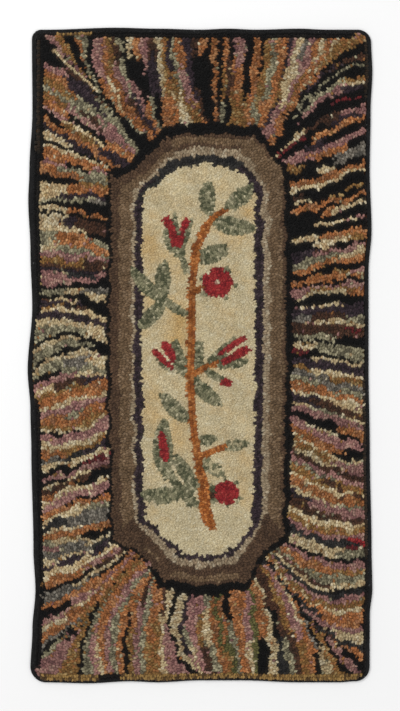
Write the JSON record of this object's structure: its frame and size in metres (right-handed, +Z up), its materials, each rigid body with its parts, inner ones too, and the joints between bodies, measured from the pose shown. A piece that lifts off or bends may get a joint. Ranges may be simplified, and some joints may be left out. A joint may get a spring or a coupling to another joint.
{
  "type": "hooked rug",
  "caption": "Flat hooked wool rug: a hessian foundation under a thick looped pile, its uneven rectangular edge bound with black tape folded from face to back.",
  "frame": {"origin": "Middle of the rug's footprint, on the surface it lies on", "axes": "+X across the rug, +Y along it towards the end where the flower stem ends, +Z up out of its face"},
  "size_m": [0.5698, 1.0837, 0.01],
  "materials": {
    "hessian": "matte plain weave",
    "wool": "matte looped wool",
    "black_tape": "matte cotton tape"
  },
  "bodies": {
    "root": {"foundation": "hessian", "pile": "wool", "binding_left": "black_tape", "binding_right": "black_tape", "binding_top": "black_tape", "binding_bottom": "black_tape"}
  },
  "joints": []
}
